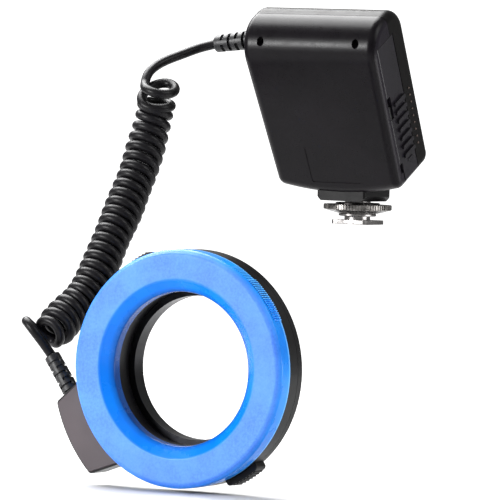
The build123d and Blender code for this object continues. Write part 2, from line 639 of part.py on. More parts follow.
with BuildPart() as clamp_plate:
    with BuildSketch(Plane.XY.offset(3.75)):
        Circle(8.7)
        Circle(STEM_R + RUN, mode=Mode.SUBTRACT)
    extrude(amount=1.15)
    chamfer(clamp_plate.edges().filter_by(GeomType.CIRCLE).sort_by(SortBy.RADIUS)[-2:], 0.2)
clamp_plate.part.label = "clamp_plate"
export_step(clamp_plate.part, "parts/clamp_plate.step")

with BuildPart() as centre_contact:
    with BuildSketch(Plane.XY.offset(-0.3)):
        Circle(1.3)
    extrude(amount=2.5)
    fillet(centre_contact.faces().sort_by(Axis.Z)[0].edges(), 0.7)
    with BuildSketch(Plane.XY.offset(2.1)):
        Circle(1.85)
    extrude(amount=0.8)
centre_contact.part.label = "centre_contact"
export_step(centre_contact.part, "parts/centre_contact.step")

contact_path = Helix(pitch=0.9, height=4.5, radius=1.35, center=(0, 0, 3.2))
with BuildPart() as contact_spring_coil:
    with BuildSketch(Plane(origin=contact_path @ 0, z_dir=contact_path % 0)):
        Circle(0.18)
    sweep(path=contact_path, is_frenet=True)
contact_spring_coil.part.label = "contact_spring"
export_step(contact_spring_coil.part, "parts/contact_spring.step")

with BuildPart() as contact_plug:
    with BuildSketch(Plane.XY.offset(7.95)):
        Circle(1.9)
    extrude(amount=3)
contact_plug.part.label = "contact_plug"
export_step(contact_plug.part, "parts/contact_plug.step")


# ------------------------------------------------------------------ cord and its strain reliefs
def strain_relief(base, direction, length, r0, r1, grooves, flange_r, flange_len, inward):
    """A tapered sleeve with half-ring grooves that alternate, and a plug that the housing grips."""
    across = Vector(0, 0, 1) if abs(direction.Z) < 0.6 else Vector(0, 1, 0)
    frame = Plane(origin=base, x_dir=across - direction * across.dot(direction), z_dir=direction)
    with BuildPart() as one:
        with BuildSketch(frame):
            Circle(r0)
        with BuildSketch(frame.offset(length)):
            Circle(r1)
        loft()
        fillet(one.edges().filter_by(GeomType.CIRCLE).sort_by(SortBy.RADIUS)[0], 0.6)
        step = (length - 3.2) / grooves
        for k in range(grooves):
            with BuildSketch(frame.offset(1.7 + k * step)):
                Circle(r0 + 1)
                Circle(CORD_D / 2 + 0.75, mode=Mode.SUBTRACT)
                Rectangle(20 if k % 2 else 2.0, 2.0 if k % 2 else 20, mode=Mode.SUBTRACT)
            extrude(amount=step * 0.42, mode=Mode.SUBTRACT)
        with BuildSketch(frame):
            Circle(flange_r)
        extrude(amount=-inward)
        with BuildSketch(frame.offset(-inward)):
            Circle(flange_r + 1.3)
        extrude(amount=-flange_len)
    return one


strain_relief_upper = strain_relief(relief_base, relief_dir, (relief_tip - relief_base).length, 4.45, 3.95, 5, 3.0, 1.2, 2.1)
strain_relief_upper.part.label = "strain_relief_upper"
export_step(strain_relief_upper.part, "parts/strain_relief_upper.step")

coil_points = [
    (-66.4, -68.7, 60.0), (-69.1, -67.6, 52.9), (-71.0, -68.5, 43.7), (-71.6, -72.7, 33.1), (-71.2, -79.3, 21.7),
    (-71.4, -86.0, 12.1), (-71.2, -93.2, 2.2), (-71.0, -101.0, -7.2), (-71.0, -108.3, -17.1), (-71.1, -115.0, -26.5),
    (-72.3, -122.9, -35.6), (-74.8, -130.9, -41.8), (-76.0, -138.1, -46.9), (-75.5, -143.2, -50.9),
]
cord_points_low = [
    (-75.5, -143.2, -50.9), (-79.4, -143.2, -51.2), (-83.4, -144.8, -49.2), (-86.4, -148.2, -46.6),
    (-86.0, -152.8, -45.2), (-82.2, -155.6, -46.8), (-78.0, -154.4, -50.6), (-75.4, -151.0, -55.4),
    (-72.8, -147.3, -60.1),
]


def cord_tube(points, diameter, name):
    """A round solid along straight runs joined by tangent arcs."""
    pts = [Vector(*p) for p in points]
    runs = [b - a for a, b in zip(pts, pts[1:])]
    radii = []
    for a, b in zip(runs, runs[1:]):
        turn = math.radians(a.get_angle(b))
        radii.append(0.45 * min(a.length, b.length) / math.tan(turn / 2))
    with BuildPart() as one:
        with BuildLine() as path:
            FilletPolyline(*pts, radius=radii)
        with BuildSketch(Plane(origin=pts[0], z_dir=runs[0])):
            Circle(diameter / 2)
        sweep(path=path.line)
    length = sum(e.length for e in path.edges())
    print(name, "length %.1f" % length, "radii", [round(r, 1) for r in radii],
          "volume %.1f of %.1f" % (one.part.volume, math.pi * diameter**2 / 4 * length))
    return one


cord_upper_tail = cord_tube(cord_points_up, CORD_D, "cord_upper_tail")
cord_upper_tail.part.label = "cord_upper_tail"
export_step(cord_upper_tail.part, "parts/cord_upper_tail.step")

cord_coil = cord_tube(coil_points, COIL_D, "cord_coil")
cord_coil.part.label = "cord_coil"
export_step(cord_coil.part, "parts/cord_coil.step")

cord_lower_tail = cord_tube(cord_points_low, CORD_D, "cord_lower_tail")
cord_lower_tail.part.label = "cord_lower_tail"
export_step(cord_lower_tail.part, "parts/cord_lower_tail.step")

# ------------------------------------------------------------------ ring head
# cable box outline in the ring plane: an arc with splayed ends that runs into the ring
box_half, box_half_in = 15.2, 21.4


def box_outline(grow):
    """Outer outline of the cable box, moved inward by -grow, down to a radius inside the ring."""
    r_out = BOX_R + grow
    r_in = 50.0
    slope = (box_half_in - box_half) / (BOX_R - 58.5)
    inner_half = box_half + slope * (BOX_R - r_in) + math.degrees(grow / r_in)
    outer_half = box_half + math.degrees(grow / BOX_R)
    a = polar(r_out, BOX_ANG - outer_half)
    b = polar(r_out, BOX_ANG)
    c = polar(r_out, BOX_ANG + outer_half)
    d = polar(r_in, BOX_ANG + inner_half)
    e = polar(r_in, BOX_ANG - inner_half)
    return a, b, c, d, e


BOX_S0, BOX_S1 = 10.3, 21.4   # cable box from behind its front plate to its back

with BuildPart() as filter_ring:
    with BuildSketch(RING_SECTION) as filter_section:
        with BuildLine():
            Polyline(
                (R_BAND_IN, 0), (R_BAND_OUT, 0), (R_OD, 2.0), (R_OD, FILTER_DEPTH),
                (R_OD - FILTER_T, FILTER_DEPTH), (R_OD - FILTER_T, 2.4), (R_BAND_OUT - 0.5, FILTER_T),
                (R_BAND_IN + 0.5, FILTER_T), (R_HOLE + FILTER_T, LIP_DEPTH + 0.7), (R_HOLE + FILTER_T, FILTER_DEPTH),
                (R_HOLE, FILTER_DEPTH), (R_HOLE, LIP_DEPTH), close=True,
            )
        make_face()
        for corner, radius in (((R_BAND_OUT, 0, 0), 1.6), ((R_OD, 2.0, 0), 1.6), ((R_BAND_IN, 0, 0), 1.2), ((R_HOLE, LIP_DEPTH, 0), 1.0)):
            fillet(filter_section.vertices().sort_by_distance(corner)[0], radius)
    revolve(axis=RING_AXIS)
    # two bands of fine grip ribs on the skirt
    with BuildSketch(ring_plane(FILTER_DEPTH)):
        for centre in (50.0, 230.0):
            for k in range(21):
                with Locations(polar(R_OD + 0.1, centre + (k - 10) * 1.15)):
                    Circle(0.38)
    extrude(amount=FILTER_DEPTH - 3.2)
filter_ring.part.label = "filter_ring"
export_step(filter_ring.part, "parts/filter_ring.step")

with BuildPart() as diffuser_window:
    with BuildSketch(ring_plane(3.6)):
        Circle(49.2)
        Circle(38.8, mode=Mode.SUBTRACT)
    extrude(amount=1.2)
diffuser_window.part.label = "diffuser_window"
export_step(diffuser_window.part, "parts/diffuser_window.step")

with BuildPart() as led_board:
    with BuildSketch(ring_plane(8.6)):
        Circle(48.9)
        Circle(37.4, mode=Mode.SUBTRACT)
    extrude(amount=1.6)
led_board.part.label = "led_board"
export_step(led_board.part, "parts/led_board.step")

with BuildPart() as led_lamps:
    with BuildSketch(ring_plane(6.95)):
        with PolarLocations(40.6, LED_COUNT // 2):
            Circle(2.2)
        with PolarLocations(45.9, LED_COUNT // 2, start_angle=7.5):
            Circle(2.2)
    extrude(amount=2.6)
    fillet(led_lamps.faces().filter_by(Axis.Y).group_by(Axis.Y)[0].edges(), 1.1)
led_lamps.part.label = "led_lamps"
export_step(led_lamps.part, "parts/led_lamps.step")

with BuildPart() as box_shape:
    # solid outline of the cable box over its whole depth, cut back to the ring body
    a, b, c, d, e = box_outline(0)
    with BuildSketch(ring_plane(BOX_S1)):
        with BuildLine():
            ThreePointArc(a, b, c)
            Polyline(c, d, e, a)
        make_face()
        Circle(51.0, mode=Mode.SUBTRACT)
    extrude(amount=BOX_S1 - BOX_S0)
    fillet([g for g in box_shape.edges().filter_by(Axis.Y) if math.hypot(g.center().X, g.center().Z - RING_Z) > 60], 2.2)

with BuildPart() as box_hollow:
    a, b, c, d, e = box_outline(-1.5)
    with BuildSketch(ring_plane(BOX_S1 - 1.5)):
        with BuildLine():
            ThreePointArc(a, b, c)
            Polyline(c, d, e, a)
        make_face()
        Circle(53.6, mode=Mode.SUBTRACT)
    extrude(amount=BOX_S1 - 1.5 - BOX_S0 - 1.0)

relief_low_base = Vector(-62.4, -147.3, -74.95)
relief_low_tip = Vector(*cord_points_low[-1])
relief_low_dir = (relief_low_tip - relief_low_base).normalized()

POST_ANG = BOX_ANG - 58.0
YOKE_IN, YOKE_OUT = 39.6, 41.4


def pushed(angle, along, aside):
    """A point given along a direction from the ring axis and square to it."""
    a = math.radians(angle)
    return (along * math.cos(a) - aside * math.sin(a), along * math.sin(a) + aside * math.cos(a))


with BuildPart() as ring_front_housing:
    with BuildSketch(RING_SECTION):
        with BuildLine():
            Polyline(
                (35.4, 6.0), (36.9, 6.0), (36.9, RING_SEAM - 0.1), (34.6, RING_SEAM - 0.1), (34.6, 9.6), (35.4, 9.6),
                close=True,
            )
        make_face()
        with BuildLine():
            Polyline(
                (49.3, 2.2), (50.9, 2.2), (50.9, 9.6), (52.2, 9.6), (52.2, RING_SEAM - 0.1), (49.3, RING_SEAM - 0.1),
                close=True,
            )
        make_face()
        # web that the lamp board stands on
        with BuildLine():
            Polyline((36.5, 9.0), (49.6, 9.0), (49.6, 10.4), (36.5, 10.4), close=True)
        make_face()
        # ledge for the window
        with BuildLine():
            Polyline((48.6, 3.7), (49.6, 3.7), (49.6, 4.9), (48.6, 4.9), close=True)
        make_face()
    revolve(axis=RING_AXIS)
    # front part of the cable box, hollow
    add(box_shape.part)
    add(box_hollow.part, mode=Mode.SUBTRACT)
    with BuildSketch(ring_plane(40)):
        Rectangle(200, 200)
    extrude(amount=40 - RING_SEAM + 0.1, mode=Mode.SUBTRACT)
    for ang in (BUTTON_ANG, BUTTON_ANG - 180):
        # window for the button's head
        with BuildSketch(radial_plane(ang, 45.0, 16.0)):
            Rectangle(8.6, 17.6)
        extrude(amount=12, mode=Mode.SUBTRACT)
        # seats of its two springs
        with BuildSketch(ring_plane(12.6)):
            for side in (-6.2, 6.2):
                with Locations(pushed(ang, 42.8, side)):
                    Rectangle(1.2, 3.6, rotation=ang)
        extrude(amount=12.6 - 10.3)
    # cord passage
    with BuildSketch(Plane(origin=relief_low_base - relief_low_dir * 4, z_dir=relief_low_dir)):
        Circle(2.85)
    extrude(amount=12, mode=Mode.SUBTRACT)
    # posts for the ring's screws
    with BuildSketch(ring_plane(RING_SEAM - 0.1)):
        with PolarLocations(44.8, 4, start_angle=POST_ANG):
            Circle(1.8)
    extrude(amount=RING_SEAM - 0.1 - 10.2)
    with BuildSketch(ring_plane(RING_SEAM)):
        with PolarLocations(44.8, 4, start_angle=POST_ANG):
            Circle(0.9)
    extrude(amount=5.2, mode=Mode.SUBTRACT)
ring_front_housing.part.label = "ring_front_housing"
export_step(ring_front_housing.part, "parts/ring_front_housing.step")

with BuildPart() as ring_rear_cover:
    with BuildSketch(RING_SECTION):
        with BuildLine():
            Polyline(
                (34.6, RING_SEAM + 0.1), (40.0, RING_SEAM + 0.1), (40.0, 20.8), (50.6, 20.8), (50.6, RING_SEAM + 0.1),
                (52.2, RING_SEAM + 0.1), (52.2, 20.2), (50.4, RING_DEPTH), (38.9, RING_DEPTH), (38.9, 18.3), (34.6, 18.3),
                close=True,
            )
        make_face()
    revolve(axis=RING_AXIS)
    add(box_shape.part)
    add(box_hollow.part, mode=Mode.SUBTRACT)
    with BuildSketch(ring_plane(RING_SEAM + 0.1)):
        Rectangle(200, 200)
    extrude(amount=40, mode=Mode.SUBTRACT)
    for ang in (BUTTON_ANG, BUTTON_ANG - 180):
        with BuildSketch(radial_plane(ang, 45.0, 16.0)):
            Rectangle(8.6, 17.6)
        extrude(amount=12, mode=Mode.SUBTRACT)
        # slots for the catches
        for side in (-18.0, 18.0):
            with BuildSketch(ring_plane(20.8)):
                with Locations(polar(39.4, ang + side)):
                    Rectangle(3.4, 7.4, rotation=ang + side)
            extrude(amount=1.9, mode=Mode.SUBTRACT)
    # bosses and counterbored holes for the ring's screws
    with BuildSketch(ring_plane(21.0)):
        with PolarLocations(44.8, 4, start_angle=POST_ANG):
            Circle(3.0)
    extrude(amount=1.8)
    with BuildSketch(ring_plane(RING_DEPTH + 1)):
        with PolarLocations(44.8, 4, start_angle=POST_ANG):
            Circle(1.1)
    extrude(amount=5, mode=Mode.SUBTRACT)
    with BuildSketch(ring_plane(RING_DEPTH + 1)):
        with PolarLocations(44.8, 4, start_angle=POST_ANG):
            Circle(2.1)
    extrude(amount=1.9, mode=Mode.SUBTRACT)
    with BuildSketch(Plane(origin=relief_low_base - relief_low_dir * 4, z_dir=relief_low_dir)):
        Circle(2.85)
    extrude(amount=12, mode=Mode.SUBTRACT)
ring_rear_cover.part.label = "ring_rear_cover"
export_step(ring_rear_cover.part, "parts/ring_rear_cover.step")

with BuildPart() as ring_screws:
    with BuildSketch(ring_plane(RING_DEPTH - 0.1)):
        with PolarLocations(44.8, 4, start_angle=POST_ANG):
            Circle(1.9)
    extrude(amount=0.75)
    with BuildSketch(ring_plane(RING_DEPTH - 0.6)):
        with PolarLocations(44.8, 4, start_angle=POST_ANG):
            Circle(0.85)
    extrude(amount=9.2)
    with BuildSketch(ring_plane(RING_DEPTH)):
        for g in range(4):
            with Locations(polar(44.8, POST_ANG + 90 * g)):
                Rectangle(2.2, 0.5)
                Rectangle(0.5, 2.2)
    extrude(amount=0.5, mode=Mode.SUBTRACT)
ring_screws.part.label = "ring_screws"
export_step(ring_screws.part, "parts/ring_screws.step")

with BuildPart() as cable_box_plate:
    a, b, c, d, e = box_outline(-0.7)
    with BuildSketch(ring_plane(BOX_S0)):
        with BuildLine():
            ThreePointArc(a, b, c)
            Polyline(c, d, e, a)
        make_face()
        Circle(52.75, mode=Mode.SUBTRACT)
    extrude(amount=0.8)
    chamfer(cable_box_plate.faces().sort_by(Axis.Y)[0].edges(), 0.25)
cable_box_plate.part.label = "cable_box_plate"
export_step(cable_box_plate.part, "parts/cable_box_plate.step")

with BuildPart() as cable_box_board:
    with BuildSketch(ring_plane(17.5)):
        with BuildLine():
            ThreePointArc(polar(64.5, BOX_ANG - 10), polar(64.5, BOX_ANG), polar(64.5, BOX_ANG + 10))
            Polyline(polar(64.5, BOX_ANG + 10), polar(55.5, BOX_ANG + 12), polar(55.5, BOX_ANG - 12), polar(64.5, BOX_ANG - 10))
        make_face()
    extrude(amount=1.2)
cable_box_board.part.label = "cable_box_board"
export_step(cable_box_board.part, "parts/cable_box_board.step")

strain_relief_lower = strain_relief(relief_low_base, relief_low_dir, (relief_low_tip - relief_low_base).length, 3.9, 3.55, 5, 2.8, 1.2, 2.2)
strain_relief_lower.part.label = "strain_relief_lower"
export_step(strain_relief_lower.part, "parts/strain_relief_lower.step")


def release_button(ang, yoke_front):
    """Radial push button: ribbed head outside the rim, and a yoke round the hole to two catches on the far side."""
    with BuildPart() as one:
        with BuildSketch(ring_plane(20.0)):
            with BuildLine():
                far = math.sqrt(HEAD_R**2 - 8.5**2)
                ThreePointArc(pushed(ang, far, -8.5), pushed(ang, HEAD_R, 0), pushed(ang, far, 8.5))
                Polyline(pushed(ang, far, 8.5), pushed(ang, 47.5, 8.5), pushed(ang, 47.5, -8.5), pushed(ang, far, -8.5))
            make_face()
        extrude(amount=8.0)
        fillet([g for g in one.edges().filter_by(Axis.Y) if math.hypot(g.center().X, g.center().Z - RING_Z) > 54], 1.6)
        # ribs across the head
        with BuildSketch(ring_plane(19.4)):
            for k in range(7):
                with Locations(polar(HEAD_R - 0.05, ang + (k - 3) * 2.0)):
                    Circle(0.55)
        extrude(amount=6.8)
        # flange behind the rim that keeps the head in
        with BuildSketch(ring_plane(20.2)):
            with Locations(pushed(ang, 47.4, 0)):
                Rectangle(1.2, 19.4, rotation=ang)
        extrude(amount=9.4)
        # arm and yoke
        with BuildSketch(ring_plane(yoke_front + 1.0)):
            with Locations(pushed(ang, 44.2, 0)):
                Rectangle(6.4, 6.8, rotation=ang)
            Circle(YOKE_OUT)
            Circle(YOKE_IN, mode=Mode.SUBTRACT)
        extrude(amount=1.0)
        # legs past the other yoke and catches in the adapter's groove
        for side in (-18.0, 18.0):
            with BuildSketch(ring_plane(20.3)):
                with Locations(polar(42.1, ang + 180 + side)):
                    Rectangle(2.2, 6.0, rotation=ang + 180 + side)
            extrude(amount=0.8)
            with BuildSketch(ring_plane(20.3)):
                with Locations(polar(42.7, ang + 180 + side)):
                    Rectangle(1.0, 6.0, rotation=ang + 180 + side)
            extrude(amount=20.3 - yoke_front)
            with BuildSketch(ring_plane(yoke_front + 1.0)):
                with Locations(polar(41.8, ang + 180 + side)):
                    Rectangle(2.8, 6.0, rotation=ang + 180 + side)
            extrude(amount=1.0)
            with BuildSketch(ring_plane(20.3)):
                with Locations(polar(40.3, ang + 180 + side)):
                    Rectangle(5.8, 6.0, rotation=ang + 180 + side)
            extrude(amount=0.8)
    return one


release_button_a = release_button(BUTTON_ANG, 13.0)
release_button_a.part.label = "release_button_a"
export_step(release_button_a.part, "parts/release_button_a.step")
release_button_b = release_button(BUTTON_ANG - 180, 14.8)
release_button_b.part.label = "release_button_b"
export_step(release_button_b.part, "parts/release_button_b.step")


def release_spring(ang, aside):
    """Coil spring between a seat in the housing and the button's flange."""
    x, z = pushed(ang, 43.75, aside)
    u, w = pushed(ang, 1, 0)
    path = Helix(pitch=0.8, height=2.7, radius=1.1, center=(x, RING_Y + 11.8, RING_Z + z), direction=(u, 0, w))
    with BuildPart() as one:
        with BuildSketch(Plane(origin=path @ 0, z_dir=path % 0)):
            Circle(0.17)
        sweep(path=path, is_frenet=True)
    return one.part


with BuildPart() as release_springs_a:
    add(release_spring(BUTTON_ANG, -6.2))
    add(release_spring(BUTTON_ANG, 6.2))
release_springs_a.part.label = "release_springs_a"
export_step(release_springs_a.part, "parts/release_springs_a.step")
with BuildPart() as release_springs_b:
    add(release_spring(BUTTON_ANG - 180, -6.2))
    add(release_spring(BUTTON_ANG - 180, 6.2))
release_springs_b.part.label = "release_springs_b"
export_step(release_springs_b.part, "parts/release_springs_b.step")

# ------------------------------------------------------------------ adapter ring
with BuildPart() as adapter_ring:
    with BuildSketch(RING_SECTION):
        with BuildLine():
            Polyline(
                (31.8, 18.6), (38.5, 18.6), (38.5, 19.3), (36.9, 19.3), (36.9, 20.5), (38.5, 20.5), (38.5, 22.6),
                (THREAD_R, 22.6), (THREAD_R, 22.6 + THREAD_LEN - 0.4), (THREAD_R - 0.4, 22.6 + THREAD_LEN),
                (31.8, 22.6 + THREAD_LEN), close=True,
            )
        make_face()
        # thread grooves
        for k in range(3):
            with BuildLine():
                g = 23.3 + 0.75 * k
                Polyline((THREAD_R + 0.05, g - 0.28), (THREAD_R + 0.05, g + 0.28), (THREAD_R - 0.38, g), close=True)
            make_face(mode=Mode.SUBTRACT)
    revolve(axis=RING_AXIS)
    # fine grip on the rim that stands behind the cover
    with BuildSketch(ring_plane(22.7)):
        with PolarLocations(38.55, 60):
            Circle(0.3)
    extrude(amount=0.5, mode=Mode.SUBTRACT)
adapter_ring.part.label = "adapter_ring"
export_step(adapter_ring.part, "parts/adapter_ring.step")
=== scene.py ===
import math

import bpy
import bmesh
import numpy as np
from mathutils import Matrix, Vector


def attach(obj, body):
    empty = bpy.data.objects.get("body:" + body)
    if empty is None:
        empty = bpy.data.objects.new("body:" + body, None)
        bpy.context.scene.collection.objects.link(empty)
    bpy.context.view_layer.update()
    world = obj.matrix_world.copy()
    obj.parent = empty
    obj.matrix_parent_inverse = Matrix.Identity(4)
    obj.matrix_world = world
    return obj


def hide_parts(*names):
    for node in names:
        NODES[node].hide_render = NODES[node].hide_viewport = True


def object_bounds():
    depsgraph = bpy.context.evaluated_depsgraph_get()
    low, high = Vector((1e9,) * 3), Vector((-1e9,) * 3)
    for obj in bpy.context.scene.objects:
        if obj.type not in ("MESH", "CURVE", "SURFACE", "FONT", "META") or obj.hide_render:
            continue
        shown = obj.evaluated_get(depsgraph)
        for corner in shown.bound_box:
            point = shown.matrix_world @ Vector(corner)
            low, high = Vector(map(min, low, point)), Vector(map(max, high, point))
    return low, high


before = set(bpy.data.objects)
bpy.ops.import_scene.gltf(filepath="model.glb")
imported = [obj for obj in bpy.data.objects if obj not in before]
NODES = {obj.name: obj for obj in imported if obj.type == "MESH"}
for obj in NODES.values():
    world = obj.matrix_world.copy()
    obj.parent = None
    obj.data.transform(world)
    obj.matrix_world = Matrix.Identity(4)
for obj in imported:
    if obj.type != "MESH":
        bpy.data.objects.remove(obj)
cad_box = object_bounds()

# ------------------------------------------------------------------ frame numbers, metres
MM = 0.001
RING_Y, RING_Z = -0.1625, -0.0618
LEAN = math.radians(29.5)
CL, SL = math.cos(LEAN), math.sin(LEAN)


def unit_point(x, u, v):
    """A point of the control unit: x across, u up its lean, v back, in millimetres."""
    return Vector((x, -SL * u + CL * v, CL * u + SL * v)) * MM


# ------------------------------------------------------------------ camera
A, E, ROLL = math.radians(29.57), math.radians(1.94), math.radians(1.74)
back = Vector((math.sin(A) * math.cos(E), -math.cos(A) * math.cos(E), math.sin(E)))
right = Vector((math.cos(A), math.sin(A), 0))
up = back.cross(right)
cam_right = right * math.cos(ROLL) + up * math.sin(ROLL)
cam_up = -right * math.sin(ROLL) + up * math.cos(ROLL)
target = right * -0.00967 + up * 0.00887 + Vector((0, -0.080, -0.020))
eye = target + back * 2.42866
camera_data = bpy.data.cameras.new("camera")
camera_data.sensor_width = 36.0
camera_data.lens = 5400 / 500 * 36.0
camera_data.clip_start = 0.05
camera_data.clip_end = 60.0
camera = bpy.data.objects.new("camera", camera_data)
camera.matrix_world = Matrix((
    (cam_right.x, cam_up.x, back.x, eye.x),
    (cam_right.y, cam_up.y, back.y, eye.y),
    (cam_right.z, cam_up.z, back.z, eye.z),
    (0, 0, 0, 1),
))
bpy.context.scene.collection.objects.link(camera)
bpy.context.scene.camera = camera

# ------------------------------------------------------------------ the cord's route, millimetres
UPPER = [
    (-56.6, -36.5, 81.3), (-62.6, -38.2, 79.8), (-66.4, -43.0, 77.7), (-69.2, -50.6, 74.0), (-70.2, -58.2, 70.3),
    (-68.6, -65.4, 66.2),
]
COIL = [
    (-66.4, -68.7, 60.0), (-69.1, -67.6, 52.9), (-71.0, -68.5, 43.7), (-71.6, -72.7, 33.1), (-71.2, -79.3, 21.7),
    (-71.4, -86.0, 12.1), (-71.2, -93.2, 2.2), (-71.0, -101.0, -7.2), (-71.0, -108.3, -17.1), (-71.1, -115.0, -26.5),
    (-72.3, -122.9, -35.6), (-74.8, -130.9, -41.8), (-76.0, -138.1, -46.9), (-75.5, -143.2, -50.9),
]
LOWER = [
    (-78.6, -143.4, -52.3), (-82.2, -145.2, -49.6), (-84.8, -147.6, -46.6), (-84.8, -151.0, -44.8),
    (-81.5, -154.3, -45.8), (-77.6, -154.7, -49.6), (-75.0, -151.3, -54.6), (-72.8, -147.3, -60.1),
]
CORD_R = 2.15 * MM
HELIX_R = 6.7 * MM
TURNS = 28.0
SENSE = -1


def spline_line(points):
    """The line of one NURBS spline through its control points' hull, read back from its own mesh."""
    curve = bpy.data.curves.new("route", "CURVE")
    curve.dimensions = "3D"
    curve.resolution_u = 40
    spline = curve.splines.new("NURBS")
    spline.points.add(len(points) - 1)
    for p, co in zip(spline.points, points):
        p.co = (co[0] * MM, co[1] * MM, co[2] * MM, 1.0)
    spline.order_u = 3
    spline.use_endpoint_u = True
    carrier = bpy.data.objects.new("route", curve)
    bpy.context.scene.collection.objects.link(carrier)
    mesh = bpy.data.meshes.new_from_object(carrier)
    line = np.array([v.co[:] for v in mesh.vertices])
    bpy.data.meshes.remove(mesh)
    bpy.data.objects.remove(carrier)
    return line


def along(line, count):
    """The line at equal steps of its length."""
    s = np.concatenate([[0], np.cumsum(np.linalg.norm(np.diff(line, axis=0), axis=1))])
    t = np.linspace(0, s[-1], count)
    return t, np.stack([np.interp(t, s, line[:, k]) for k in range(3)], axis=1)


def smooth(x):
    x = np.clip(x, 0, 1)
    return x * x * x * (x * (6 * x - 15) + 10)


def frames_along(pts, first):
    """Tangents and a frame carried along the line without twist."""
    tan = np.gradient(pts, axis=0)
    tan /= np.linalg.norm(tan, axis=1)[:, None]
    n = np.array(first, float)
    normals = []
    for t in tan:
        n = n - t * (n @ t)
        n /= np.linalg.norm(n)
        normals.append(n.copy())
    normals = np.array(normals)
    return tan, normals, np.cross(tan, normals)


def mesh_object(name, verts, faces, material=None, shade=True, uvs=None):
    mesh = bpy.data.meshes.new(name)
    mesh.from_pydata([tuple(v) for v in verts], [], faces)
    mesh.update()
    if shade:
        mesh.polygons.foreach_set("use_smooth", [True] * len(mesh.polygons))
    if uvs is not None:
        layer = mesh.uv_layers.new(name="along")
        loops = np.zeros(len(mesh.loops), dtype=np.int32)
        mesh.loops.foreach_get("vertex_index", loops)
        layer.data.foreach_set("uv", np.asarray(uvs)[loops].astype(np.float32).ravel())
    obj = bpy.data.objects.new(name, mesh)
    bpy.context.scene.collection.objects.link(obj)
    if material is not None:
        mesh.materials.append(material)
    return obj


def tube(name, pts, radius, sides=14, first=(0, 0, 1), radii=None):
    """A closed tube with flat end caps along the points, rings square to its line."""
    tan, nor, bi = frames_along(pts, first)
    s = np.concatenate([[0], np.cumsum(np.linalg.norm(np.diff(pts, axis=0), axis=1))])
    ang = np.linspace(0, 2 * math.pi, sides, endpoint=False)
    rr = np.full(len(pts), radius) if radii is None else np.asarray(radii)
    ring = np.cos(ang)[None, :, None] * nor[:, None, :] + np.sin(ang)[None, :, None] * bi[:, None, :]
    verts = (pts[:, None, :] + ring * rr[:, None, None]).reshape(-1, 3)
    uv = np.stack([np.repeat(s / radius, sides), np.tile(ang, len(pts))], axis=1)
    faces = []
    for i in range(len(pts) - 1):
        for j in range(sides):
            k = (j + 1) % sides
            faces.append((i * sides + j, i * sides + k, (i + 1) * sides + k, (i + 1) * sides + j))
    faces.append(tuple(range(sides - 1, -1, -1)))
    faces.append(tuple((len(pts) - 1) * sides + j for j in range(sides)))
    return mesh_object(name, verts, faces, uvs=uv)


route = spline_line(UPPER + COIL + LOWER)
count = 4200
s_line, line = along(route, count)
first_coil, last_coil = np.array(COIL[0]) * MM, np.array(COIL[-1]) * MM
s0 = s_line[np.argmin(np.linalg.norm(line - first_coil, axis=1))]
s1 = s_line[np.argmin(np.linalg.norm(line[: int(count * 0.9)] - last_coil, axis=1))]
left = -np.array(cam_right)
tan, nor, bi = frames_along(line, left)
# the offset from the axis grows to the left along the tail, turns round it, and falls again into the lower tail
rad = HELIX_R * smooth((s_line - (s0 - 0.038)) / 0.036) * smooth(((s1 + 0.006) - s_line) / 0.009)
rad = rad * (1 + 0.07 * np.exp(-(((s_line - s0 - 0.001) / 0.006) ** 2)))
since = np.clip(s_line - s0, 0, None)
density = 1 / (1 + 0.20 * np.exp(-since / 0.035) - 0.08 * np.exp(-since / 0.007))
weight = density * smooth((s_line - (s0 - 0.006)) / 0.006) * smooth(((s1 + 0.004) - s_line) / 0.006)
turned = np.concatenate([[0], np.cumsum(np.diff(s_line) * weight[1:])])


def heading(i, aim):
    """The angle in the carried frame at point i of a world direction."""
    return math.atan2(aim @ bi[i], aim @ nor[i])


i0 = int(np.argmin(abs(s_line - (s0 - 0.004))))
i1 = int(np.argmin(abs(s_line - (s1 + 0.002))))
start = heading(i0, left)
end = heading(i1, np.array((-0.75, 0.35, -0.55)))
sweep = 2 * math.pi * TURNS
sweep += SENSE * (end - start) - 2 * math.pi * round((SENSE * (end - start)) / (2 * math.pi))
ang = start + SENSE * sweep * (turned - turned[i0]) / (turned[i1] - turned[i0])
wobble = 1 + 0.030 * np.sin(s_line * 190.0) + 0.022 * np.sin(s_line * 71.0 + 1.3)
out = np.cos(ang)[:, None] * nor + np.sin(ang)[:, None] * bi
cord_path = line + (rad * wobble)[:, None] * out
# the first turns hang forward: their front sides sag and their back sides rise
sag = 0.78 * np.exp(-((since / 0.0041) ** 2)) * rad * (out @ (np.array(back) + 0.35 * left))
sag = sag + 0.0017 * np.exp(-(((s_line - s0 - 0.002) / 0.006) ** 2))
aside = 0.0009 * np.exp(-(((s_line - s0) / 0.010) ** 2))
cord_path = cord_path + sag[:, None] * tan + aside[:, None] * left
s_cord, cord_path = along(cord_path, 3600)
thick = CORD_R * (1 + 0.06 * smooth((s_cord - 0.050) / 0.04) * smooth((s_cord[-1] - 0.045 - s_cord) / 0.04))
cord_obj = tube("curly_cord", cord_path, CORD_R, sides=14, first=(0, 0, 1), radii=thick)
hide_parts("cord_upper_tail", "cord_coil", "cord_lower_tail")
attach(cord_obj, "flash")

# ------------------------------------------------------------------ materials
C = {}


def link(tree, a, b):
    tree.links.new(a, b)


